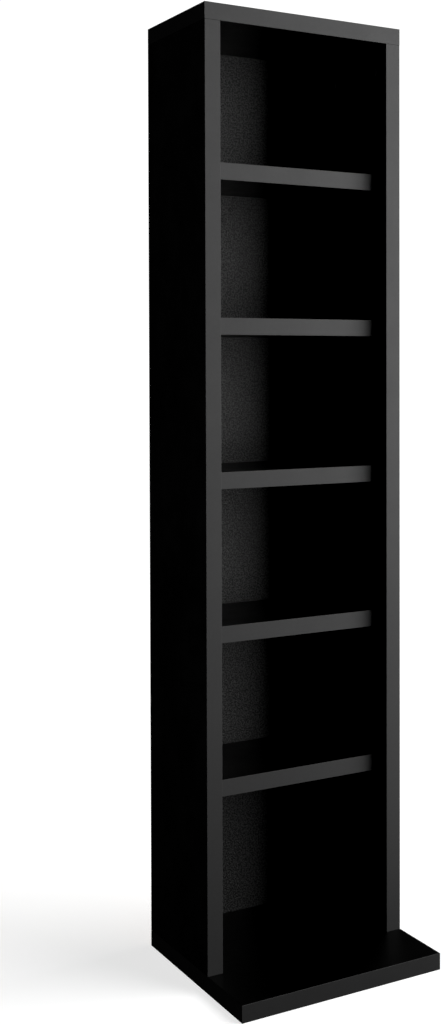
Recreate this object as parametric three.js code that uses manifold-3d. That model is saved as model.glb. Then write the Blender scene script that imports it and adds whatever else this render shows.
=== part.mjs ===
// CD and DVD storage tower: six open compartments between two side panels, on a base
// that reaches forward so that the narrow tower can't tip over. It is flat-pack
// furniture of black melamine-faced chipboard with glued-on edge bands and a thin
// hardboard back. The top is pulled down on the sides by cam fittings, the base is
// screwed on from below, and the shelves sit on wooden dowels.
//
// Millimetres, +Z up. The open front faces -Y, and the origin lies on the floor under
// the middle of the footprint.
import * as THREE from "three";
import { mergeVertices } from "three/addons/utils/BufferGeometryUtils.js";
import Module from "manifold-3d";

const wasm = await Module();
wasm.setup();

// Driving dimensions
const towerWidth = 215.5;
const towerHeight = 915;
const towerDepth = 197;
const baseProjection = 68; // how far the base reaches in front of the side panels
const boardThickness = 16;
const shelfCount = 5;
const shelfRecess = 15; // how far the shelves' fronts lie behind the sides' fronts
const topClearHeight = 127.5; // clear height under the top panel: a CD case is 125 high
const bottomClearHeight = 159.7; // clear height between the base and the lowest shelf
const edgeBandThickness = 0.4;
const edgeBandArris = 0.3; // radius that the trimmer leaves on a band's long arrises
const glueThickness = 0.05; // film of glue between a board and its edge band
const backThickness = 3;
const backInset = 1.5; // the hardboard back stays this far inside the carcass's outline

// Fits of fittings in their bores
const fitClearance = 0.3; // all round a fitting
const endClearance = 0.5; // past the end of a fitting in a blind bore
const cutOverrun = 2; // how far a cutter reaches out of the face where it enters

// Wooden dowels between shelves and side panels
const dowelDiameter = 8;
const dowelLength = 30;
const dowelChamfer = 1;
const dowelFlutes = 12;
const dowelFluteDepth = 0.25;
const dowelInset = 20; // from a shelf's front and back edges to its dowels' axes
const boreSkin = 5; // board left behind the blind bores of dowels and cam bolts

// Chipboard screws that hold the base from below
const screwLength = 50;
const screwHeadDiameter = 10;
const screwHeadRim = 0.8; // straight rim above the countersink
const screwHeadCone = 3;
const screwShoulderDiameter = 7;
const screwThreadDiameter = 6; // mean of crest and core
const screwTipLength = 4;
const screwSink = 0.5; // head below the base's underside
const screwInset = 25; // from a side panel's front and back edges to the axes
const hexKeyWidth = 4; // across flats
const hexKeyDepth = 2.8;

// Cam fittings that pull the top panel down on the sides
const camInset = 25; // from a side panel's front and back edges to the cams' axes
const camDrop = 24; // from a side panel's top edge down to the cams' axes
const camDiameter = 14.4;
const camFaceSink = 0.3; // cam's face below the board's inner face
const camFloor = 1.1; // metal under the cam's chamber
const camSeatRadius = 4.9; // from the axis to the wall that pulls on the locked bolt
const camEntryRadius = 5.7; // the same wall at the entry, before the cam is turned
const camLockTurn = THREE.MathUtils.degToRad(150); // from the entry to the locked bolt
const camWindOutShare = 1 / 8; // of the circle, where the wall returns to the entry
const crossLength = 6.6;
const crossWidth = 1.9;
const crossDepthShare = 0.55; // of the metal between the cam's face and its chamber

const boltBallDiameter = 6.4;
const boltNeckDiameter = 4;
const boltConeLength = 2;
const boltShankDiameter = 7.4;
const boltThreadDiameter = 5.4; // mean of crest and core
const boltTipChamfer = 1.2;

// Covers over the cams
const capDiameter = 17;
const capThickness = 1.2;
const capRim = 0.5; // height of the straight rim below the domed edge

// Facets of the round forms
const hexSides = 6;
const boreSides = 12;
const dowelSides = 2 * dowelFlutes;
const screwSides = 16;
const camSides = 32;
const camWallSteps = 24;
const boltSides = 16;
const ballSteps = 5;
const capSides = 24;
const arrisSteps = 3;

// Planes of the tower that several pieces share
const rightOuterX = towerWidth / 2;
const rightInnerX = rightOuterX - boardThickness;
const sideMiddleX = rightOuterX - boardThickness / 2;
const frontY = -towerDepth / 2; // front of the base
const rearY = towerDepth / 2; // outer face of the back panel
const carcassRearY = rearY - backThickness; // inner face of the back panel
const sideFrontY = frontY + baseProjection;
const shelfFrontY = sideFrontY + shelfRecess;
const bandSpace = edgeBandThickness + glueThickness; // outside a board's own edge
const baseTopZ = boardThickness;
const topBottomZ = towerHeight - boardThickness;

// Finishes
const melamine = new THREE.MeshStandardMaterial({ color: 0x161617, roughness: 0.55 });
const edging = new THREE.MeshStandardMaterial({ color: 0x1c1c1e, roughness: 0.5 });
const hardboard = new THREE.MeshStandardMaterial({ color: 0x191817, roughness: 0.8 });
const beech = new THREE.MeshStandardMaterial({ color: 0xcfa878, roughness: 0.75 });
const zincPlate = new THREE.MeshStandardMaterial({
  color: 0xb9bcc0,
  roughness: 0.35,
  metalness: 1,
});
const zincCasting = new THREE.MeshStandardMaterial({
  color: 0xa4a6a8,
  roughness: 0.5,
  metalness: 1,
});
const capPlastic = new THREE.MeshStandardMaterial({ color: 0x121213, roughness: 0.45 });

// Solid work

// The closed manifold-3d solid of a three.js geometry.
function solidOf(geometry) {
  const bare = geometry.clone();
  bare.deleteAttribute("normal");
  bare.deleteAttribute("uv");
  const merged = mergeVertices(bare);
  return new wasm.Manifold(
    new wasm.Mesh({
      numProp: 3,
      vertProperties: new Float32Array(merged.attributes.position.array),
      triVerts: new Uint32Array(merged.index.array),
    }),
  );
}

// The three.js geometry of a manifold-3d solid.
function geometryOf(solid) {
  const mesh = solid.getMesh();
  const geometry = new THREE.BufferGeometry();
  geometry.setAttribute("position", new THREE.BufferAttribute(mesh.vertProperties, 3));
  geometry.setIndex(new THREE.BufferAttribute(mesh.triVerts, 1));
  geometry.computeVertexNormals();
  return geometry;
}

function subtract(geometry, cutters) {
  let solid = solidOf(geometry);
  for (const cutter of cutters) {
    solid = solid.subtract(solidOf(cutter));
  }
  return geometryOf(solid);
}

function join(geometries) {
  const [first, ...others] = geometries.map(solidOf);
  return geometryOf(others.reduce((solid, other) => solid.add(other), first));
}

// Forms in a fitting's own frame, where its axis is Z

// A round bar from one height to another.
function bar(diameter, fromZ, toZ, facets) {
  return new THREE.CylinderGeometry(diameter / 2, diameter / 2, toZ - fromZ, facets)
    .rotateX(Math.PI / 2)
    .translate(0, 0, (fromZ + toZ) / 2);
}

// A turned piece from its profile of [radius, height] pairs, which starts and ends on
// the axis and climbs.
function turned(profile, facets) {
  const points = profile.map(([radius, z]) => new THREE.Vector2(radius, z));
  return new THREE.LatheGeometry(points, facets).rotateX(Math.PI / 2);
}

// A flat outline given thickness between two heights.
function plate(shape, fromZ, toZ) {
  const options = { depth: toZ - fromZ, bevelEnabled: false };
  return new THREE.ExtrudeGeometry(shape, options).translate(0, 0, fromZ);
}

// Two crossed bars, as a cross-head driver cuts them.
function cross(length, width, fromZ, toZ) {
  const middleZ = (fromZ + toZ) / 2;
  const blade = (x, y) => new THREE.BoxGeometry(x, y, toZ - fromZ).translate(0, 0, middleZ);
  return join([blade(length, width), blade(width, length)]);
}

// Straight flutes pressed into a turned piece: every other meridian is drawn in.
function fluted(geometry, flutes, depth) {
  const points = geometry.attributes.position;
  for (let index = 0; index < points.count; index += 1) {
    const x = points.getX(index);
    const y = points.getY(index);
    const radius = Math.hypot(x, y);
    const meridian = Math.round((Math.atan2(y, x) / Math.PI) * flutes);
    if (radius > depth && meridian % 2 !== 0) {
      const share = (radius - depth) / radius;
      points.setXY(index, x * share, y * share);
    }
  }
  return geometry;
}

// The profile of an edge band across its width, with the outer face on the X axis and
// the glued face below it. The outer arrises are rounded.
function bandProfile(width) {
  const half = width / 2;
  const arrisX = half - edgeBandArris;
  const shape = new THREE.Shape();
  shape.moveTo(-half, -edgeBandThickness);
  shape.lineTo(half, -edgeBandThickness);
  shape.lineTo(half, -edgeBandArris);
  shape.absarc(arrisX, -edgeBandArris, edgeBandArris, 0, Math.PI / 2);
  shape.lineTo(-arrisX, 0);
  shape.absarc(-arrisX, -edgeBandArris, edgeBandArris, Math.PI / 2, Math.PI);
  return shape;
}

// Places of the fittings and bands. Each turns a piece's own frame into the tower's.

const sides = [
  { side: "left", sign: -1 },
  { side: "right", sign: 1 },
];

// The front and back positions of a pair of fittings between two edges.
function rows(edgeFrontY, edgeRearY, inset) {
  return [
    { row: "front", y: edgeFrontY + inset },
    { row: "back", y: edgeRearY - inset },
  ];
}

// A frame at a point whose Z axis and Y axis point as given.
function place(point, zAxis, yAxis) {
  const xAxis = new THREE.Vector3().crossVectors(yAxis, zAxis);
  return new THREE.Matrix4().makeBasis(xAxis, yAxis, zAxis).setPosition(point);
}

const up = new THREE.Vector3(0, 0, 1);
const rightwards = new THREE.Vector3(1, 0, 0);
const rearwards = new THREE.Vector3(0, 1, 0);
const forwards = new THREE.Vector3(0, -1, 0);

// In the side panel's inner face: Z points into the compartment.
function innerFacePlace(sign, y, z) {
  const inwards = new THREE.Vector3(-sign, 0, 0);
  return place(new THREE.Vector3(sign * rightInnerX, y, z), inwards, up);
}

// On the middle of a side panel's edge, with Z up.
function sideEdgePlace(sign, y, z) {
  return place(new THREE.Vector3(sign * sideMiddleX, y, z), up, rearwards);
}

// Dowels. The frame's origin lies where the shelf meets the side panel.

const dowelInSide = boardThickness - boreSkin - endClearance;
const dowelInShelf = dowelLength - dowelInSide;
const dowelBore = bar(
  dowelDiameter + 2 * fitClearance,
  -dowelInSide - endClearance,
  dowelInShelf + endClearance,
  boreSides,
);

function dowel() {
  const radius = dowelDiameter / 2;
  const smooth = turned(
    [
      [0, -dowelInSide],
      [radius - dowelChamfer, -dowelInSide],
      [radius, -dowelInSide + dowelChamfer],
      [radius, dowelInShelf - dowelChamfer],
      [radius - dowelChamfer, dowelInShelf],
      [0, dowelInShelf],
    ],
    dowelSides,
  );
  return fluted(smooth, dowelFlutes, dowelFluteDepth);
}

// Base screws. The frame's origin lies on the base's underside, and Z goes up the screw.

const screwHeadTop = screwSink + screwHeadRim + screwHeadCone;
const screwEnd = screwSink + screwLength;
const screwBore = turned(
  [
    [0, -cutOverrun],
    [screwHeadDiameter / 2 + fitClearance, -cutOverrun],
    [screwHeadDiameter / 2 + fitClearance, screwSink + screwHeadRim + fitClearance],
    [screwShoulderDiameter / 2 + fitClearance, screwHeadTop + fitClearance],
    [screwShoulderDiameter / 2 + fitClearance, baseTopZ + endClearance],
    [screwThreadDiameter / 2 + fitClearance, baseTopZ + endClearance],
    [screwThreadDiameter / 2 + fitClearance, screwEnd + endClearance],
    [0, screwEnd + endClearance],
  ],
  screwSides,
);

function baseScrew() {
  const body = turned(
    [
      [0, screwSink],
      [screwHeadDiameter / 2, screwSink],
      [screwHeadDiameter / 2, screwSink + screwHeadRim],
      [screwShoulderDiameter / 2, screwHeadTop],
      [screwShoulderDiameter / 2, baseTopZ],
      [screwThreadDiameter / 2, baseTopZ],
      [screwThreadDiameter / 2, screwEnd - screwTipLength],
      [0, screwEnd],
    ],
    screwSides,
  );
  const acrossCorners = hexKeyWidth / Math.cos(Math.PI / hexSides);
  const socketEnd = screwSink + hexKeyDepth;
  const socket = bar(acrossCorners, screwSink - cutOverrun, socketEnd, hexSides);
  return subtract(body, [socket]);
}

// Cams. The frame's origin lies on the side panel's inner face, Z points out of it
// into the compartment and Y up to the top panel. The bolt comes down along Y, in the
// middle of the board's thickness, and its ball sits in the cam's chamber. The
// chamber's wall winds in from the entry, so turning the cam pulls on the ball.

const boltZ = -boardThickness / 2;
const chamberHalfHeight = boltBallDiameter / 2 + fitClearance;
const camFace = -camFaceSink;
const camBottom = boltZ - chamberHalfHeight - camFloor;
const crossDepth = crossDepthShare * (camFace - boltZ - chamberHalfHeight);
const boltDirection = Math.PI / 2;
const entryDirection = boltDirection - camLockTurn;
const camBore = bar(
  camDiameter + 2 * fitClearance,
  camBottom - endClearance,
  cutOverrun,
  camSides,
);

// The chamber's wall radius at a turn from the entry: it winds in up to the locked
// bolt, stays there, and comes out again over the last share of the circle.
function chamberRadius(turn) {
  const wound = Math.min(turn / camLockTurn, 1);
  const fullTurn = 2 * Math.PI;
  const windOutTurn = camWindOutShare * fullTurn;
  const windOut = Math.max((turn - fullTurn + windOutTurn) / windOutTurn, 0);
  return THREE.MathUtils.lerp(camEntryRadius, camSeatRadius, wound - windOut);
}

function pointAt(radius, direction) {
  return new THREE.Vector2(radius * Math.cos(direction), radius * Math.sin(direction));
}

function chamberShape() {
  const points = [];
  for (let step = 0; step < camWallSteps; step += 1) {
    const turn = (step / camWallSteps) * 2 * Math.PI;
    points.push(pointAt(chamberRadius(turn), entryDirection + turn));
  }
  return new THREE.Shape(points);
}

// The slot that the bolt's neck runs in, from the entry to a little past the bolt.
function slotShape(halfWidth) {
  const reach = camDiameter / 2 + cutOverrun;
  const margin = Math.asin(halfWidth / camSeatRadius);
  const slotTurn = camLockTurn + 2 * margin;
  const points = [new THREE.Vector2(0, 0)];
  for (let step = 0; step <= camWallSteps / 2; step += 1) {
    const turn = (step / (camWallSteps / 2)) * slotTurn;
    points.push(pointAt(reach, entryDirection - margin + turn));
  }
  return new THREE.Shape(points);
}

function camLock() {
  const neckHalf = boltNeckDiameter / 2 + fitClearance;
  const body = bar(camDiameter, camBottom, camFace, camSides);
  const chamber = plate(
    chamberShape(),
    boltZ - chamberHalfHeight,
    boltZ + chamberHalfHeight,
  );
  const slot = plate(slotShape(neckHalf), boltZ - neckHalf, boltZ + neckHalf);
  const entry = bar(2 * chamberHalfHeight, 0, camDiameter / 2 + cutOverrun, boltSides)
    .rotateY(Math.PI / 2)
    .rotateZ(entryDirection)
    .translate(0, 0, boltZ);
  const driver = cross(crossLength, crossWidth, camFace - crossDepth, camFace + cutOverrun);
  return subtract(body, [chamber, slot, entry, driver]);
}

// Cam bolts. The frame's origin lies on the side panel's top edge, and Z goes up into
// the top panel.

const boltThreadLength = boardThickness - boreSkin - endClearance;
const ballZ = -camDrop + camSeatRadius - fitClearance - boltBallDiameter / 2;
const boltNeckEnd = -camDrop + camDiameter / 2 + fitClearance; // just clear of the cam
const boltBore = bar(boltShankDiameter + 2 * fitClearance, -camDrop, cutOverrun, boreSides);
const boltThreadBore = bar(
  boltThreadDiameter + 2 * fitClearance,
  -cutOverrun,
  boltThreadLength + endClearance,
  boreSides,
);

function camBolt() {
  const ballRadius = boltBallDiameter / 2;
  const neckRadius = boltNeckDiameter / 2;
  const neckAngle = Math.PI - Math.asin(neckRadius / ballRadius);
  const profile = [];
  for (let step = 0; step <= ballSteps; step += 1) {
    const angle = (step / ballSteps) * neckAngle;
    profile.push([ballRadius * Math.sin(angle), ballZ - ballRadius * Math.cos(angle)]);
  }
  profile.push(
    [neckRadius, boltNeckEnd],
    [boltShankDiameter / 2, boltNeckEnd + boltConeLength],
    [boltShankDiameter / 2, 0],
    [boltThreadDiameter / 2, 0],
    [boltThreadDiameter / 2, boltThreadLength - boltTipChamfer],
    [boltThreadDiameter / 2 - boltTipChamfer, boltThreadLength],
    [0, boltThreadLength],
  );
  return turned(profile, boltSides);
}

// Cam caps. The frame is the cams'. A cross-shaped plug holds the cap in the cam.

function camCap() {
  const radius = capDiameter / 2;
  const disc = turned(
    [
      [0, 0],
      [radius, 0],
      [radius, capRim],
      [radius - capThickness + capRim, capThickness],
      [0, capThickness],
    ],
    capSides,
  );
  const plugEnd = camFace - crossDepth + fitClearance;
  const plug = cross(
    crossLength - 2 * fitClearance,
    crossWidth - 2 * fitClearance,
    plugEnd,
    capRim,
  );
  return join([disc, plug]);
}

// Scene graph

const tower = new THREE.Group();

function addMesh(name, geometry, material) {
  const mesh = new THREE.Mesh(geometry, material);
  mesh.name = name;
  tower.add(mesh);
  return mesh;
}

function addFitting(name, geometry, material, where) {
  const mesh = addMesh(name, geometry, material);
  mesh.applyMatrix4(where);
}

// A board between two corners, less its bores, which are in the tower's frame.
function addBoard(name, low, high, material, bores = []) {
  const size = new THREE.Vector3().subVectors(high, low);
  const middle = new THREE.Vector3().addVectors(low, high).divideScalar(2);
  const uncut = new THREE.BoxGeometry(size.x, size.y, size.z);
  const moved = bores.map((bore) => bore.clone().translate(-middle.x, -middle.y, -middle.z));
  const mesh = addMesh(name, subtract(uncut, moved), material);
  mesh.position.copy(middle);
}

// An edge band as wide as a board is thick. Its outer face has its middle at a point
// and looks outwards, and its length runs along the given axis.
function addBand(name, middle, outwards, along, length) {
  const options = { depth: length, bevelEnabled: false, curveSegments: arrisSteps };
  const strip = new THREE.ExtrudeGeometry(bandProfile(boardThickness), options);
  const mesh = addMesh(name, strip.translate(0, 0, -length / 2), edging);
  mesh.applyMatrix4(place(middle, along, outwards));
}

const corner = (x, y, z) => new THREE.Vector3(x, y, z);
const boreAt = (bore, where) => bore.clone().applyMatrix4(where);

// Heights of the shelves' upper faces, from the top shelf down: the first and the last
// keep their clear heights to the top and base, and the rest are evenly spaced.
const firstShelfZ = topBottomZ - topClearHeight;
const lastShelfZ = baseTopZ + bottomClearHeight + boardThickness;
const shelfTopZs = Array.from({ length: shelfCount }, (_, index) =>
  THREE.MathUtils.lerp(firstShelfZ, lastShelfZ, index / (shelfCount - 1)),
);

// Where every fitting goes
const dowelPlaces = [];
const screwPlaces = [];
const camPlaces = [];
const boltPlaces = [];
for (const { side, sign } of sides) {
  shelfTopZs.forEach((topZ, index) => {
    for (const { row, y } of rows(shelfFrontY, carcassRearY, dowelInset)) {
      const where = innerFacePlace(sign, y, topZ - boardThickness / 2);
      dowelPlaces.push({ side, shelf: index + 1, row, where });
    }
  });
  for (const { row, y } of rows(sideFrontY, carcassRearY, screwInset)) {
    screwPlaces.push({ side, row, where: sideEdgePlace(sign, y, 0) });
  }
  for (const { row, y } of rows(sideFrontY, carcassRearY, camInset)) {
    camPlaces.push({ side, row, where: innerFacePlace(sign, y, topBottomZ - camDrop) });
    boltPlaces.push({ side, row, where: sideEdgePlace(sign, y, topBottomZ) });
  }
}

const boresAt = (bore, places) => places.map(({ where }) => boreAt(bore, where));
const onSide = (places, side) => places.filter((one) => one.side === side);

// Top and base, each with an edge band on its front and on both ends
function addEdgedBoard(name, boardFrontY, bottomZ, bores) {
  const topZ = bottomZ + boardThickness;
  const middleZ = bottomZ + boardThickness / 2;
  const coreX = rightOuterX - bandSpace;
  const coreFrontY = boardFrontY + bandSpace;
  addBoard(
    `${name}_panel`,
    corner(-coreX, coreFrontY, bottomZ),
    corner(coreX, carcassRearY, topZ),
    melamine,
    bores,
  );
  const frontMiddle = corner(0, boardFrontY, middleZ);
  addBand(`${name}_front_band`, frontMiddle, forwards, rightwards, towerWidth);
  for (const { side, sign } of sides) {
    const outwards = new THREE.Vector3(sign, 0, 0);
    const middle = corner(sign * rightOuterX, (coreFrontY + carcassRearY) / 2, middleZ);
    addBand(`${name}_${side}_band`, middle, outwards, rearwards, carcassRearY - coreFrontY);
  }
}

addEdgedBoard("top", sideFrontY, topBottomZ, boresAt(boltThreadBore, boltPlaces));
addEdgedBoard("base", frontY, 0, boresAt(screwBore, screwPlaces));

// Side panels
for (const { side, sign } of sides) {
  const lowX = sign < 0 ? -rightOuterX : rightInnerX;
  const highX = lowX + boardThickness;
  const coreFrontY = sideFrontY + bandSpace;
  addBoard(
    `${side}_side_panel`,
    corner(lowX, coreFrontY, baseTopZ),
    corner(highX, carcassRearY, topBottomZ),
    melamine,
    [
      ...boresAt(dowelBore, onSide(dowelPlaces, side)),
      ...boresAt(screwBore, onSide(screwPlaces, side)),
      ...boresAt(camBore, onSide(camPlaces, side)),
      ...boresAt(boltBore, onSide(boltPlaces, side)),
    ],
  );
  const bandMiddle = corner(sign * sideMiddleX, sideFrontY, (baseTopZ + topBottomZ) / 2);
  addBand(`${side}_side_band`, bandMiddle, forwards, up, topBottomZ - baseTopZ);
}

// Shelves, from the top one down
shelfTopZs.forEach((topZ, index) => {
  const shelf = index + 1;
  const bottomZ = topZ - boardThickness;
  const coreFrontY = shelfFrontY + bandSpace;
  const places = dowelPlaces.filter((one) => one.shelf === shelf);
  addBoard(
    `shelf_${shelf}`,
    corner(-rightInnerX, coreFrontY, bottomZ),
    corner(rightInnerX, carcassRearY, topZ),
    melamine,
    boresAt(dowelBore, places),
  );
  const bandMiddle = corner(0, shelfFrontY, topZ - boardThickness / 2);
  addBand(`shelf_${shelf}_band`, bandMiddle, forwards, rightwards, 2 * rightInnerX);
});

// Back panel, nailed on the rear edges of all boards
addBoard(
  "back_panel",
  corner(-rightOuterX + backInset, carcassRearY, backInset),
  corner(rightOuterX - backInset, rearY, towerHeight - backInset),
  hardboard,
);

// Fittings
for (const { side, shelf, row, where } of dowelPlaces) {
  addFitting(`shelf_${shelf}_dowel_${side}_${row}`, dowel(), beech, where);
}
for (const { side, row, where } of screwPlaces) {
  addFitting(`base_screw_${side}_${row}`, baseScrew(), zincPlate, where);
}
for (const { side, row, where } of boltPlaces) {
  addFitting(`cam_bolt_${side}_${row}`, camBolt(), zincPlate, where);
}
for (const { side, row, where } of camPlaces) {
  addFitting(`cam_lock_${side}_${row}`, camLock(), zincCasting, where);
  addFitting(`cam_cap_${side}_${row}`, camCap(), capPlastic, where);
}

export default tower;
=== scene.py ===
"""Looks of a black CD and DVD storage tower: its finishes, its finer fittings, a plain
studio and the camera. Metres, +Z up, and the open front faces -Y."""

import math

import bmesh
import bpy
from mathutils import Matrix, Vector
from mathutils.geometry import delaunay_2d_cdt


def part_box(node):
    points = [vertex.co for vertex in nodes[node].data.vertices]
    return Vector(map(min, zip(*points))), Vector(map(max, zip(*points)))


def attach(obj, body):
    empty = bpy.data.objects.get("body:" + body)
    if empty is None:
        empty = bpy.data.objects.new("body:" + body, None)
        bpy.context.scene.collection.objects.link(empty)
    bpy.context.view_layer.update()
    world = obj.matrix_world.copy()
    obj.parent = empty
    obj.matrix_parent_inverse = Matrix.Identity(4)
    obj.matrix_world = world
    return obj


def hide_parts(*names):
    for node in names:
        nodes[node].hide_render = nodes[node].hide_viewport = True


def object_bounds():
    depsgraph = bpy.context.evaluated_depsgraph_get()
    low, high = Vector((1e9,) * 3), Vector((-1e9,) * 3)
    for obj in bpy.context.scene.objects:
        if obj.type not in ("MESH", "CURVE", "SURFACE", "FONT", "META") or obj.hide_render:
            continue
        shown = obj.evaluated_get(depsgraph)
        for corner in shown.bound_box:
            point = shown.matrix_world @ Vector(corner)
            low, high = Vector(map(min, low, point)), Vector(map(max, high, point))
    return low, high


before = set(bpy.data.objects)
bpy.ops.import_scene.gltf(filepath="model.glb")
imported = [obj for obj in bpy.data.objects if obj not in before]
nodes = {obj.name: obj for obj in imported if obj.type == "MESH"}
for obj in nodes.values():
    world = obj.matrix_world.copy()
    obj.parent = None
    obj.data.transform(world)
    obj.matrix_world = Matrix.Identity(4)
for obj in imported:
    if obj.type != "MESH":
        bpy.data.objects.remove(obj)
cad_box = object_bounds()
scene = bpy.context.scene

MM = 0.001

# Groups of the tower's pieces

BOARDS = ["top_panel", "base_panel", "left_side_panel", "right_side_panel"]
SHELVES = sorted(n for n in nodes if n.startswith("shelf_") and n[-1].isdigit())
BANDS = sorted(n for n in nodes if n.endswith("_band"))
DOWELS = sorted(n for n in nodes if "_dowel_" in n)
SCREWS = sorted(n for n in nodes if n.startswith("base_screw_"))
BOLTS = sorted(n for n in nodes if n.startswith("cam_bolt_"))
LOCKS = sorted(n for n in nodes if n.startswith("cam_lock_"))
CAPS = sorted(n for n in nodes if n.startswith("cam_cap_"))

SIDE_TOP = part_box("left_side_panel")[1][2]  # height of the joint under the top panel


# Node graphs


class Finish:
    """A material with one Principled shader, and short ways to feed it."""

    def __init__(self, name, **constants):
        self.material = bpy.data.materials.new(name)
        self.material.use_nodes = True
        self.tree = self.material.node_tree
        self.shader = self.tree.nodes["Principled BSDF"]
        for socket, value in constants.items():
            self.shader.inputs[socket.replace("_", " ")].default_value = value

    def node(self, kind, inputs, output=0, **settings):
        """Adds a node and returns its output. Inputs are values or other outputs."""
        made = self.tree.nodes.new(kind)
        for key, value in settings.items():
            setattr(made, key, value)
        for key, value in inputs.items():
            if isinstance(value, bpy.types.NodeSocket):
                self.tree.links.new(value, made.inputs[key])
            else:
                made.inputs[key].default_value = value
        return made.outputs[output]

    def feed(self, socket, output):
        self.tree.links.new(output, self.shader.inputs[socket])

    def place(self):
        """The point in the piece's own frame, in metres."""
        return self.node("ShaderNodeTexCoord", {}, "Object")

    def stretched(self, x, y, z):
        """The place, scaled along each axis."""
        factors = {0: self.place(), 1: (x, y, z)}
        return self.node("ShaderNodeVectorMath", factors, operation="MULTIPLY")

    def along(self, vector, axis):
        """One of a vector's three values. Axis 0 is X and axis 2 is Z."""
        return self.node("ShaderNodeSeparateXYZ", {0: vector}, axis)

    def wave(self, axis, pitch):
        """A sine along one axis that repeats after the pitch."""
        turns = 2.0 * math.pi / pitch
        return self.math("SINE", self.along(self.stretched(turns, turns, turns), axis))

    def noise(self, vector, scale, detail=2.0, rough=0.5):
        inputs = {"Vector": vector, "Scale": scale, "Detail": detail, "Roughness": rough}
        return self.node("ShaderNodeTexNoise", inputs, "Fac")

    def cells(self, vector, scale):
        """The distance to the nearest of many scattered points."""
        return self.node("ShaderNodeTexVoronoi", {"Vector": vector, "Scale": scale}, "Distance")

    def cell_tones(self, vector, scale):
        """One random value for each cell."""
        inputs = {"Vector": vector, "Scale": scale}
        colours = self.node("ShaderNodeTexVoronoi", inputs, "Color")
        return self.node("ShaderNodeSeparateColor", {0: colours}, 0)

    def remap(self, value, low, high, to_low=0.0, to_high=1.0):
        inputs = {
            "Value": value,
            "From Min": low,
            "From Max": high,
            "To Min": to_low,
            "To Max": to_high,
        }
        return self.node("ShaderNodeMapRange", inputs)

    def spread(self, noise, to_low=0.0, to_high=1.0):
        """Brings a noise, most of which lies near its middle, to a whole range."""
        return self.remap(noise, 0.3, 0.7, to_low, to_high)

    def math(self, operation, a, b=0.0):
        return self.node("ShaderNodeMath", {0: a, 1: b}, operation=operation)

    def blend(self, share, a, b):
        """Colour a, going over to colour b where share is 1."""
        return self.node("ShaderNodeMix", {0: share, 6: a, 7: b}, 2, data_type="RGBA")

    def mix(self, share, a, b):
        """Value a, going over to value b where share is 1."""
        return self.node("ShaderNodeMix", {0: share, 2: a, 3: b}, 0, data_type="FLOAT")

    def bump(self, height, depth, normal=None):
        inputs = {"Height": height, "Distance": depth, "Strength": 1.0}
        if normal is not None:
            inputs["Normal"] = normal
        return self.node("ShaderNodeBump", inputs)

    def facing_rear(self):
        """How far the surface faces the tower's rear, from -1 to 1."""
        inputs = {0: self.node("ShaderNodeNewGeometry", {}, "True Normal"), 1: (0.0, 1.0, 0.0)}
        return self.node("ShaderNodeVectorMath", inputs, "Value", operation="DOT_PRODUCT")


def rgb(red, green, blue):
    return (red, green, blue, 1.0)


def grey(value):
    return rgb(value, value, value)


def melamine():
    """Black melamine-faced chipboard. The boards' rear edges are raw."""
    f = Finish("black_melamine", IOR=1.5)
    place = f.place()
    raw = f.remap(f.facing_rear(), 0.6, 0.9)

    cloud = f.noise(place, scale=60.0)
    black = f.blend(f.remap(cloud, 0.35, 0.65), grey(0.0026), grey(0.0038))
    chip_scale = 620.0  # chips in a metre
    chip_tone = f.cell_tones(place, chip_scale)
    tan = f.blend(chip_tone, rgb(0.17, 0.095, 0.045), rgb(0.50, 0.345, 0.20))
    f.feed("Base Color", f.blend(raw, black, tan))

    smudge = f.noise(place, scale=14.0, detail=4.0, rough=0.6)
    satin, chip_rough = f.spread(smudge, 0.34, 0.46), 0.9
    f.feed("Roughness", f.mix(raw, satin, chip_rough))

    pearl = f.noise(place, scale=1400.0, detail=3.0, rough=0.55)
    pores = f.math("MULTIPLY", f.cells(place, scale=900.0), 0.6)
    skin = f.bump(f.math("ADD", pearl, pores), 0.03 * MM)
    chips = f.math("MULTIPLY", f.cells(place, chip_scale), raw)
    f.feed("Normal", f.bump(chips, 0.35 * MM, skin))
    return f.material


def edging():
    """Matt black edge band, a little lighter than the boards' faces. The open joint under the top
    panel is painted near-black: painted shade in that narrow gap, partly the band's dark cut end."""
    f = Finish("black_edging", IOR=1.5)
    place = f.place()
    cloud = f.noise(place, scale=38.0, detail=3.0, rough=0.55)
    mottle = f.noise(place, scale=260.0)
    tone = f.math("ADD", f.spread(cloud, 0.0, 0.6), f.spread(mottle, 0.0, 0.4))
    band = f.blend(tone, grey(0.046), rgb(0.053, 0.053, 0.0535))
    height = f.along(place, 2)
    from_joint = f.math("ABSOLUTE", f.math("SUBTRACT", height, SIDE_TOP))
    # A near-black line at the joint height: painted shade in the open joint, partly the band's dark
    # cut end.
    painted_joint_shade = f.remap(from_joint, 0.12 * MM, 0.28 * MM, 1.0, 0.0)
    f.feed("Base Color", f.blend(painted_joint_shade, band, grey(0.001)))
    f.feed("Roughness", f.spread(cloud, 0.78, 0.86))
    f.feed("Normal", f.bump(f.noise(place, scale=1500.0, rough=0.6), 0.02 * MM))
    return f.material


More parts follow.
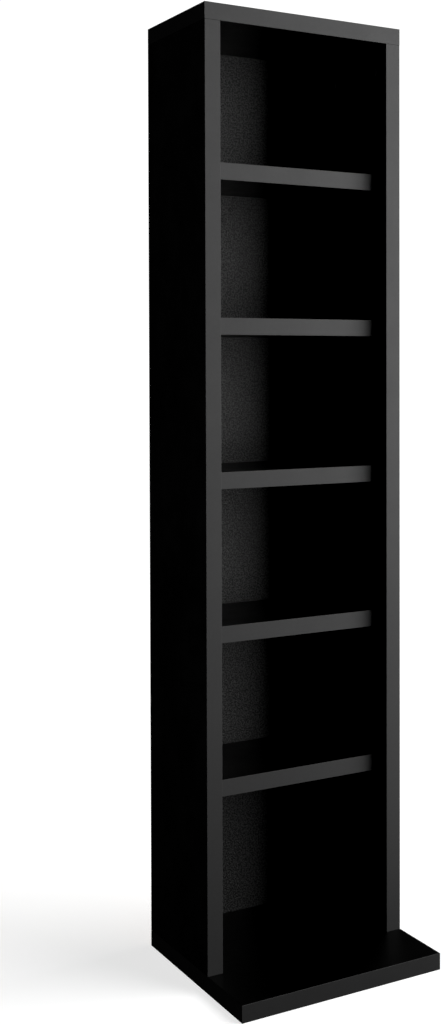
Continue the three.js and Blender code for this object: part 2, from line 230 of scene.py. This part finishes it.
def hardboard():
    """Thin hardboard: grained black lacquer inside, and bare fibre with the press's mesh
    behind."""
    f = Finish("hardboard", IOR=1.5, Specular_IOR_Level=0.25)
    place = f.place()
    bare = f.remap(f.facing_rear(), -0.5, -0.1)

    specks = f.noise(place, scale=640.0, detail=1.0)
    lacquer = f.blend(f.remap(specks, 0.40, 0.62), grey(0.007), grey(0.052))
    long, short = 260.0, 1300.0  # fibres in a metre, end to end and side by side
    lying = f.noise(f.stretched(long, long, short), scale=1.0, detail=3.0, rough=0.6)
    upright = f.noise(f.stretched(short, short, long), scale=1.0, detail=3.0, rough=0.6)
    fibres = f.remap(f.math("MAXIMUM", lying, upright), 0.42, 0.72)
    cloud = f.noise(place, scale=30.0, detail=5.0, rough=0.65)
    brown = f.blend(fibres, rgb(0.130, 0.068, 0.032), rgb(0.260, 0.155, 0.080))
    brown = f.blend(f.remap(cloud, 0.35, 0.7, 0.0, 0.3), brown, rgb(0.29, 0.185, 0.105))
    f.feed("Base Color", f.blend(bare, lacquer, brown))

    grain = f.noise(place, scale=430.0, detail=3.0, rough=0.7)
    pits = f.remap(f.cells(place, scale=420.0), 0.10, 0.35)
    dull = f.math("ADD", f.spread(grain, 0.50, 0.60), f.remap(pits, 0.0, 1.0, 0.10, 0.0))
    fibre_rough = 0.85
    f.feed("Roughness", f.mix(bare, dull, fibre_rough))

    skin = f.bump(f.math("ADD", grain, f.math("MULTIPLY", pits, 0.5)), 0.45 * MM)
    mesh_pitch = 1.85 * MM
    waves = f.math("MULTIPLY", f.wave(0, mesh_pitch), f.wave(2, mesh_pitch))
    f.feed("Normal", f.bump(f.math("MULTIPLY", waves, bare), 0.06 * MM, skin))
    return f.material


def beech():
    f = Finish("beech", IOR=1.45)
    grain = f.noise(f.stretched(60.0, 900.0, 900.0), scale=1.0, detail=4.0, rough=0.6)
    flecks = f.noise(f.stretched(300.0, 2600.0, 2600.0), scale=1.0)
    tone = f.math("ADD", f.spread(grain, 0.0, 0.7), f.remap(flecks, 0.4, 0.7, 0.0, 0.3))
    f.feed("Base Color", f.blend(tone, rgb(0.60, 0.40, 0.225), rgb(0.42, 0.25, 0.125)))
    f.feed("Roughness", f.spread(grain, 0.6, 0.75))
    f.feed("Normal", f.bump(flecks, 0.04 * MM))
    return f.material


def zinc(name, tone, low_rough, high_rough, spangle_scale, depth):
    f = Finish(name, Metallic=1.0)
    place = f.place()
    spangle = f.cell_tones(place, spangle_scale)
    stain = f.noise(place, scale=300.0, detail=3.0, rough=0.6)
    darker_share = 0.86
    f.feed("Base Color", f.blend(spangle, grey(tone * darker_share), grey(tone)))
    f.feed("Roughness", f.spread(stain, low_rough, high_rough))
    f.feed("Normal", f.bump(f.noise(place, spangle_scale * 2.0), depth))
    return f.material


def cap_plastic():
    f = Finish("black_plastic", IOR=1.48)
    place = f.place()
    f.feed("Base Color", f.blend(f.noise(place, scale=500.0), grey(0.0065), grey(0.010)))
    f.feed("Roughness", f.spread(f.noise(place, scale=180.0), 0.38, 0.5))
    f.feed("Normal", f.bump(f.noise(place, scale=3200.0), 0.015 * MM))
    return f.material


MELAMINE = melamine()
EDGING = edging()
HARDBOARD = hardboard()
BEECH = beech()
ZINC_PLATE = zinc("zinc_plated_steel", 0.66, 0.22, 0.36, 1800.0, 0.01 * MM)
ZINC_CASTING = zinc("zinc_casting", 0.52, 0.42, 0.58, 2600.0, 0.03 * MM)
CAP_PLASTIC = cap_plastic()


# CAD nodes kept as they are


def wear(names, material, arris=0.0):
    """Gives nodes a finish, and breaks their sharp arrises by that much."""
    for name in names:
        piece = nodes[name]
        piece.data.materials.clear()
        piece.data.materials.append(material)
        if arris:
            weld = piece.modifiers.new("weld", "WELD")
            weld.merge_threshold = 0.001 * MM
            bevel = piece.modifiers.new("arris", "BEVEL")
            bevel.width = arris
            bevel.segments = 2
            bevel.limit_method = "ANGLE"
            bevel.angle_limit = math.radians(40.0)
            bevel.use_clamp_overlap = True


wear(BOARDS + SHELVES, MELAMINE, 0.12 * MM)
wear(BANDS, EDGING, 0.25 * MM)
wear(DOWELS, BEECH)
wear(LOCKS, ZINC_CASTING)


# Finer forms. Each is a closed mesh in a fitting's own frame. Profiles and blocks are
# given in millimetres, and the forms made from them are in metres.

ROUND_STEPS = 48
NAIL_STEPS = 24


def turned(profile, steps=ROUND_STEPS):
    """A turned body. Its profile runs from the axis at its lower end to the axis at its
    upper end. A radius is a number, or a function of the angle where it isn't round."""
    points, faces, rings = [], [], []
    for radius, height in profile:
        ring = []
        for step in range(steps if radius else 1):
            angle = 2.0 * math.pi * step / steps
            reach = (radius(angle) if callable(radius) else radius) * MM
            ring.append(len(points))
            points.append((reach * math.cos(angle), reach * math.sin(angle), height * MM))
        rings.append(ring)
    for low, high in zip(rings, rings[1:]):
        for step in range(steps):
            after = (step + 1) % steps
            around = (
                low[step % len(low)],
                low[after % len(low)],
                high[after % len(high)],
                high[step % len(high)],
            )
            face = list(dict.fromkeys(around))
            if len(face) > 2:
                faces.append(face)
    return points, faces


def block(low, high):
    """A box between two corners."""
    (x0, y0, z0), (x1, y1, z1) = low, high
    corners = [(x, y, z) for z in (z0, z1) for y in (y0, y1) for x in (x0, x1)]
    faces = [(0, 2, 3, 1), (4, 5, 7, 6), (0, 1, 5, 4), (2, 6, 7, 3), (0, 4, 6, 2), (1, 3, 7, 5)]
    return [(x * MM, y * MM, z * MM) for x, y, z in corners], faces


def together(*forms):
    points, faces = [], []
    for some_points, some_faces in forms:
        first = len(points)
        points.extend(some_points)
        faces.extend([first + corner for corner in face] for face in some_faces)
    return points, faces


def make_mesh(name, form, material, sharp):
    """A mesh of a form, smooth except at edges sharper than the angle in degrees."""
    points, faces = form
    mesh = bpy.data.meshes.new(name)
    mesh.from_pydata(points, [], faces)
    mesh.materials.append(material)
    mesh.shade_smooth()
    mesh.set_sharp_from_angle(angle=math.radians(sharp))
    return mesh


def add_piece(name, mesh, where, slot, *stands_for):
    """A piece of that mesh at a place, in the stead of CAD nodes where some are named."""
    piece = bpy.data.objects.new(name, mesh)
    piece.matrix_world = where
    scene.collection.objects.link(piece)
    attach(piece, "root")
    if stands_for:
        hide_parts(*stands_for)
    return piece


def standing(x, y, z):
    return Matrix.Translation((x, y, z))


def middle(name):
    low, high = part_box(name)
    return (Vector(low) + Vector(high)) / 2


# Screws and bolts, with their threads

THREAD_ROWS = 8  # rows of points in one pitch
THREAD_RIDGE_SHARE = 0.55  # of the pitch


def thread(crest, core, pitch, height, starts_at, ends_at):
    """The radius round a threaded stem at one height. The thread runs out at its ends."""
    run_out = min((height - starts_at) / pitch, (ends_at - height) / pitch, 1.0)
    depth = (crest - core) * max(run_out, 0.0)

    def radius(angle):
        along = (height / pitch - angle / (2.0 * math.pi)) % 1.0
        ridge = max(1.0 - abs(2.0 * along - 1.0) / THREAD_RIDGE_SHARE, 0.0)
        return core + depth * ridge

    return radius


def threaded(crest, core, pitch, starts_at, ends_at):
    """Profile points of a threaded stem."""
    count = round((ends_at - starts_at) / pitch * THREAD_ROWS)
    heights = [starts_at + (ends_at - starts_at) * row / count for row in range(count + 1)]
    return [(thread(crest, core, pitch, h, starts_at, ends_at), h) for h in heights]


def hexagon(half_width):
    """The radius round a six-sided socket."""
    sixth = math.pi / 3.0
    return lambda angle: half_width / math.cos((angle + sixth / 2.0) % sixth - sixth / 2.0)


# A screw from its head upwards, with Z from the base board's underside

SCREW_SOCKET = [
    (0.0, 3.6),
    (hexagon(1.0), 3.3),
    (hexagon(2.0), 3.0),
    (hexagon(2.0), 0.65),
    (hexagon(2.15), 0.5),
]
SCREW_HEAD = [(4.7, 0.5), (4.92, 0.58), (5.0, 0.8), (5.0, 1.3), (3.5, 4.3)]
SCREW_SHOULDER = [(3.5, 15.4), (2.5, 16.0)]
SCREW_THREAD = threaded(crest=3.5, core=2.5, pitch=3.0, starts_at=16.2, ends_at=47.0)
SCREW_TIP = [(1.6, 49.4), (0.0, 50.5)]

screw_form = turned(SCREW_SOCKET + SCREW_HEAD + SCREW_SHOULDER + SCREW_THREAD + SCREW_TIP)
screw_mesh = make_mesh("base_screw", screw_form, ZINC_PLATE, sharp=35.0)
for name in SCREWS:
    axis = middle(name)
    where = standing(axis.x, axis.y, 0.0)
    add_piece(name + "_threaded", screw_mesh, where, "zinc_plated_steel", name)


def cam_bolt_form():
    """A cam bolt from its ball up to its threaded end, with Z from the side panel's top."""
    ball, neck, shank, crest, core, tip = 3.2, 2.0, 3.7, 3.1, 2.3, 1.4  # radii
    ball_z, cone_z, shank_z, collar_z, tip_z = -22.6, -16.5, -14.5, -0.3, 10.5
    ball_steps = 15
    profile = [(0.0, ball_z - ball)]
    for step in range(1, ball_steps):
        angle = math.pi * step / ball_steps
        radius, height = ball * math.sin(angle), ball_z - ball * math.cos(angle)
        if angle > math.pi / 2 and radius < neck:
            break
        profile.append((radius, height))
    profile += [
        (neck, ball_z + math.sqrt(ball ** 2 - neck ** 2)),
        (neck, cone_z),
        (shank, shank_z),
        (shank, collar_z),
        (core, 0.0),
        *threaded(crest, core, pitch=1.9, starts_at=0.2, ends_at=9.2),
        (tip, tip_z),
        (0.0, tip_z),
    ]
    return turned(profile)


bolt_mesh = make_mesh("cam_bolt", cam_bolt_form(), ZINC_PLATE, sharp=35.0)
for name in BOLTS:
    axis = middle(name)
    where = standing(axis.x, axis.y, SIDE_TOP)
    add_piece(name + "_threaded", bolt_mesh, where, "zinc_plated_steel", name)


# Caps over the cams: a thin disc with a rounded rim, and a cross-shaped plug behind it


def cap_form():
    rim_radius, rim_z = 8.5, 0.5
    round_in, round_up = 0.7, 0.62  # the rounded edge's reach inwards and outwards
    round_steps = 6
    profile = [(0.0, 0.0), (8.35, 0.0), (rim_radius, 0.15), (rim_radius, rim_z)]
    for step in range(1, round_steps + 1):
        angle = math.pi / 2 * step / round_steps
        radius = rim_radius - round_in + round_in * math.cos(angle)
        profile.append((radius, rim_z + round_up * math.sin(angle)))
    profile += [(4.0, 1.18), (0.9, 1.2), (0.7, 1.1), (0.0, 1.1)]
    arm, half_thick, plug_low, plug_high = 3.0, 0.65, -2.3, 0.5
    across = block((-arm, -half_thick, plug_low), (arm, half_thick, plug_high))
    upright = block((-half_thick, -arm, plug_low), (half_thick, arm, plug_high))
    return together(turned(profile), across, upright)


cap_mesh = make_mesh("cam_cap", cap_form(), CAP_PLASTIC, sharp=40.0)
inner_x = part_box("right_side_panel")[0][0]
caps = []
for name in CAPS:
    axis = middle(name)
    sign = -1.0 if axis.x < 0.0 else 1.0
    turn = Matrix.Rotation(-sign * math.pi / 2, 4, "Y")
    where = standing(sign * inner_x, axis.y, axis.z) @ turn
    caps.append(add_piece(name + "_domed", cap_mesh, where, "black_plastic", name))


# Back panel, with a dimple round each nail, and the nails

NAIL_ROWS = 7  # in each side panel
NAIL_END = 30.0 * MM  # from the tower's top and bottom to the outermost of these
NAIL_LENGTH = 16.45  # in millimetres, as its profile
NAIL_PROFILE = [
    (0.0, 0.0),
    (0.75, 1.6),
    (0.8, 15.5),
    (1.7, 16.0),
    (1.85, 16.15),
    (1.8, 16.3),
    (1.2, 16.42),
    (0.0, NAIL_LENGTH),
]
NAIL_SINK = 0.2 * MM
DIMPLE = [(2.1, 0.55), (2.6, 0.42), (3.2, 0.22), (3.9, 0.07), (4.6, 0.0)]  # radii, depths
DIMPLE_STEPS = 20
BACK_ARRIS = 0.3 * MM
SQUARE = [(0, 0), (1, 0), (1, 1), (0, 1)]  # the corners of a rectangle, in order

back_low, back_high = [Vector(corner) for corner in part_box("back_panel")]
side_nail_x = middle("right_side_panel").x
tower_height = cad_box[1][2]
nail_spots = []
for row in range(NAIL_ROWS):
    z = NAIL_END + (tower_height - 2 * NAIL_END) * row / (NAIL_ROWS - 1)
    nail_spots += [(-side_nail_x, z), (side_nail_x, z)]
for name in ["top_panel", "base_panel"] + SHELVES:
    nail_spots.append((0.0, middle(name).z))


def back_outline(inset):
    """The X and Z of the back panel's four corners, set in by that much."""
    xs = (back_low.x + inset, back_high.x - inset)
    zs = (back_low.z + inset, back_high.z - inset)
    return [(xs[right], zs[upper]) for right, upper in SQUARE]


def back_form():
    """A thin board with a flat front and broken rear arrises. Behind, it is pressed in at
    each nail."""
    spots = back_outline(BACK_ARRIS)
    depths = [0.0] * len(spots)
    for x, z in nail_spots:
        spots.append((x, z))
        depths.append(DIMPLE[0][1] * MM)
        for radius, depth in DIMPLE:
            for step in range(DIMPLE_STEPS):
                angle = 2.0 * math.pi * step / DIMPLE_STEPS
                spots.append((x + radius * MM * math.cos(angle), z + radius * MM * math.sin(angle)))
                depths.append(depth * MM)
    ring = [(0, 1), (1, 2), (2, 3), (3, 0)]
    convex_hull, merge_distance = 0, 1e-7
    flat, _, triangles, origins, _, _ = delaunay_2d_cdt(
        [Vector(spot) for spot in spots], ring, [], convex_hull, merge_distance
    )
    points = [(p.x, back_high.y - depths[origins[i][0]], p.y) for i, p in enumerate(flat)]
    faces = [tuple(reversed(triangle)) for triangle in triangles]
    rim = [next(i for i, o in enumerate(origins) if corner in o) for corner in range(4)]
    shoulder, front = len(points), len(points) + 4
    for y in (back_high.y - BACK_ARRIS, back_low.y):
        points += [(x, y, z) for x, z in back_outline(0.0)]
    for here, after in ring:
        faces.append((rim[here], rim[after], shoulder + after, shoulder + here))
        faces.append((shoulder + here, shoulder + after, front + after, front + here))
    faces.append((front, front + 1, front + 2, front + 3))
    return points, faces


def outward(mesh):
    """Turns all faces of a closed mesh outwards."""
    work = bmesh.new()
    work.from_mesh(mesh)
    bmesh.ops.recalc_face_normals(work, faces=work.faces)
    work.to_mesh(mesh)
    work.free()
    return mesh


back_mesh = outward(make_mesh("back_panel_nailed", back_form(), HARDBOARD, sharp=30.0))
back_piece = add_piece("back_panel_nailed", back_mesh, Matrix(), "hardboard", "back_panel")

nail_mesh = make_mesh("back_nail", turned(NAIL_PROFILE, NAIL_STEPS), ZINC_PLATE, sharp=50.0)
into_back = Matrix.Rotation(-math.pi / 2, 4, "X")
nails = []
for number, (x, z) in enumerate(nail_spots, 1):
    where = standing(x, back_high.y - NAIL_SINK - NAIL_LENGTH * MM, z) @ into_back
    nails.append(add_piece(f"back_nail_{number:02d}", nail_mesh, where, "zinc_plated_steel"))


# Camera, at the photograph's viewing angle

IMAGE_WIDTH = 441
IMAGE_HEIGHT = 1024
PRINCIPAL_X = 310.0
PRINCIPAL_Y = 389.88
FOCAL_PIXELS = 1393.8
SENSOR_MM = 36.0
CAMERA_PLACE = Vector((-0.67976, -1.17901, 0.582672))
CAMERA_YAW = -0.536746
CAMERA_PITCH = -0.018322
CAMERA_ROLL = -0.001774


def make_camera():
    data = bpy.data.cameras.new("camera")
    data.sensor_width = SENSOR_MM
    data.lens = FOCAL_PIXELS * SENSOR_MM / IMAGE_HEIGHT
    data.shift_x = (IMAGE_WIDTH / 2 - PRINCIPAL_X) / IMAGE_HEIGHT
    data.shift_y = (PRINCIPAL_Y - IMAGE_HEIGHT / 2) / IMAGE_HEIGHT
    data.clip_start = 0.01
    data.clip_end = 100.0
    camera = bpy.data.objects.new("camera", data)
    bpy.context.scene.collection.objects.link(camera)
    upright = Matrix.Rotation(math.pi / 2, 4, "X")
    pitch = Matrix.Rotation(CAMERA_PITCH, 4, "X")
    roll = Matrix.Rotation(-CAMERA_ROLL, 4, "Y")
    yaw = Matrix.Rotation(CAMERA_YAW, 4, "Z")
    camera.matrix_world = Matrix.Translation(CAMERA_PLACE) @ yaw @ pitch @ roll @ upright
    bpy.context.scene.camera = camera


make_camera()


# Studio

DARKEST = 0.001  # linear light up to this comes out black, as in the photograph
BACKDROP = 1.1  # behind everything for the camera: a little over white
SURROUNDINGS = 0.004  # what the tower's faces mirror where there is no light
FLOOR_HALF_SIZE = 12.0
FLOOR_DROP = 0.2 * MM

scene.view_settings.view_transform = "Standard"
scene.view_settings.look = "None"
scene.view_settings.use_curve_mapping = True
scene.view_settings.curve_mapping.black_level = (DARKEST, DARKEST, DARKEST)
scene.view_settings.curve_mapping.update()


def make_world():
    """White behind everything for the camera, and dark for the tower's reflections."""
    world = bpy.data.worlds.new("studio")
    world.use_nodes = True
    tree = world.node_tree
    background = tree.nodes["Background"]
    path = tree.nodes.new("ShaderNodeLightPath")
    strength = tree.nodes.new("ShaderNodeMapRange")
    tree.links.new(path.outputs["Is Camera Ray"], strength.inputs["Value"])
    strength.inputs["To Min"].default_value = SURROUNDINGS
    strength.inputs["To Max"].default_value = BACKDROP
    tree.links.new(strength.outputs[0], background.inputs["Strength"])
    background.inputs["Color"].default_value = grey(1.0)
    scene.world = world


def make_floor():
    mesh = bpy.data.meshes.new("floor")
    sides = (-FLOOR_HALF_SIZE, FLOOR_HALF_SIZE)
    corners = [(sides[right], sides[rear], -FLOOR_DROP) for right, rear in SQUARE]
    mesh.from_pydata(corners, [], [(0, 1, 2, 3)])
    floor = bpy.data.objects.new("floor", mesh)
    scene.collection.objects.link(floor)
    f = Finish("pale_floor", Roughness=0.9, Specular_IOR_Level=0.0, Base_Color=grey(0.8))
    mesh.materials.append(f.material)
    floor.visible_diffuse = False
    floor.visible_glossy = False
    floor.visible_shadow = False
    return floor


def lit_only(light, objects):
    """The light reaches these objects and no others."""
    receivers = bpy.data.collections.new(light.name + "_reaches")
    for o in objects:
        receivers.objects.link(o)
    light.light_linking.receiver_collection = receivers


def soft_box(name, place, aim, size, radiance, objects):
    """A rectangular light of one radiance, aimed at a point."""
    width, height = size
    data = bpy.data.lights.new(name, "AREA")
    data.shape = "RECTANGLE"
    data.size = width
    data.size_y = height
    data.energy = radiance * math.pi * width * height
    light = bpy.data.objects.new(name, data)
    scene.collection.objects.link(light)
    light.location = place
    light.rotation_mode = "QUATERNION"
    light.rotation_quaternion = (Vector(aim) - Vector(place)).to_track_quat("-Z", "Y")
    light.visible_camera = False
    lit_only(light, objects)


def sun(name, azimuth, elevation, width, strength, objects, shadow):
    """A distant light. Its azimuth runs from +X to +Y. Angles in degrees."""
    data = bpy.data.lights.new(name, "SUN")
    data.angle = math.radians(width)
    data.energy = strength
    data.use_shadow = shadow
    light = bpy.data.objects.new(name, data)
    scene.collection.objects.link(light)
    around = Matrix.Rotation(math.radians(azimuth), 4, "Z")
    tilt = Matrix.Rotation(math.radians(90.0 - elevation), 4, "Y")
    light.matrix_world = around @ tilt
    lit_only(light, objects)


make_world()
floor = make_floor()

left_side = nodes["left_side_panel"]
right_side = nodes["right_side_panel"]
top = nodes["top_panel"]
left_ends = [nodes["top_left_band"], nodes["base_left_band"]]
right_ends = [nodes["top_right_band"], nodes["base_right_band"]]
front_bands = [nodes[n] for n in BANDS if nodes[n] not in left_ends]
rear_edges = [nodes[n] for n in BOARDS + SHELVES]
level_boards = [nodes[n] for n in ["base_panel"] + SHELVES]

# A place, a point to aim at, and a size. The keys stand at the front right.
HIGH_KEY = ((0.521, -0.516, 1.103), (-0.477, -0.500, 1.156), (0.678, 1.593))
UPPER_KEY = ((0.779, -0.508, 0.865), (0.095, 0.002, 1.386), (0.314, 1.450))
LOW_KEY = ((0.220, -0.170, 0.140), (0.100, -0.030, 0.120), (0.060, 0.160))
LOW_BACK_KEY = ((0.613, -0.514, 0.250), (-0.142, 0.119, 0.076), (0.500, 0.300))
LEFT_WALL = ((-1.5, -0.35, 0.6), (0.0, -0.35, 0.6), (1.3, 1.6))
FRONT_LEFT_WALL = ((-1.1, -1.5, 0.6), (0.0, 0.0, 0.6), (1.2, 1.6))
RIGHT_WALL = ((1.5, 0.0, 0.6), (0.0, 0.0, 0.6), (3.0, 1.8))
RIGHT_BOUNCE = ((0.9, 0.3, -0.7), (0.1, 0.0, 0.5), (1.8, 1.8))
REAR_BOX = ((0.0, 2.2, 0.457), (0.0, 0.0, 0.457), (0.21, 0.91))
REAR_SIDE_BOX = ((1.3, 1.5, 1.7), (0.0, 0.1, 0.5), (0.9, 0.9))
REAR_WALL = ((0.4, 2.0, 1.2), (0.0, 0.1, 0.5), (2.0, 2.0))
CEILING = ((0.0, 0.1, 2.4), (0.0, 0.1, 0.9), (2.6, 2.6))

SOFT_BOXES = [  # name, where, radiance and the pieces that it reaches
    ("side_key", HIGH_KEY, 4.2, front_bands + [left_side] + caps),
    ("back_key", HIGH_KEY, 7.05, [back_piece]),
    ("upper_key", UPPER_KEY, 3.55, front_bands),
    ("low_key", LOW_KEY, 2.0, front_bands),
    ("low_back_key", LOW_BACK_KEY, 6.7, [back_piece]),
    ("left_wall", LEFT_WALL, 0.5, [left_side]),
    ("front_left_wall", FRONT_LEFT_WALL, 0.4, [left_side] + caps),
    ("left_end_wall", LEFT_WALL, 0.12, left_ends),
    ("right_wall", RIGHT_WALL, 0.6, [right_side]),
    ("right_floor_bounce", RIGHT_BOUNCE, 0.3, [right_side]),
    ("right_end_wall", RIGHT_WALL, 0.15, right_ends),
    ("rear_light", REAR_BOX, 40.0, rear_edges + [back_piece]),
    ("rear_side_light", REAR_SIDE_BOX, 7.0, [back_piece]),
    ("nail_light", REAR_WALL, 0.55, nails),
    ("top_light", CEILING, 1.2, [top]),
    ("level_light", CEILING, 0.5, level_boards),
]
for name, where, radiance, reached in SOFT_BOXES:
    soft_box(name, *where, radiance, reached)
sun("floor_key", -30.0, 47.0, width=50.0, strength=2.14, objects=[floor], shadow=True)
sun("floor_fill", 0.0, 90.0, width=10.0, strength=2.95, objects=[floor], shadow=False)
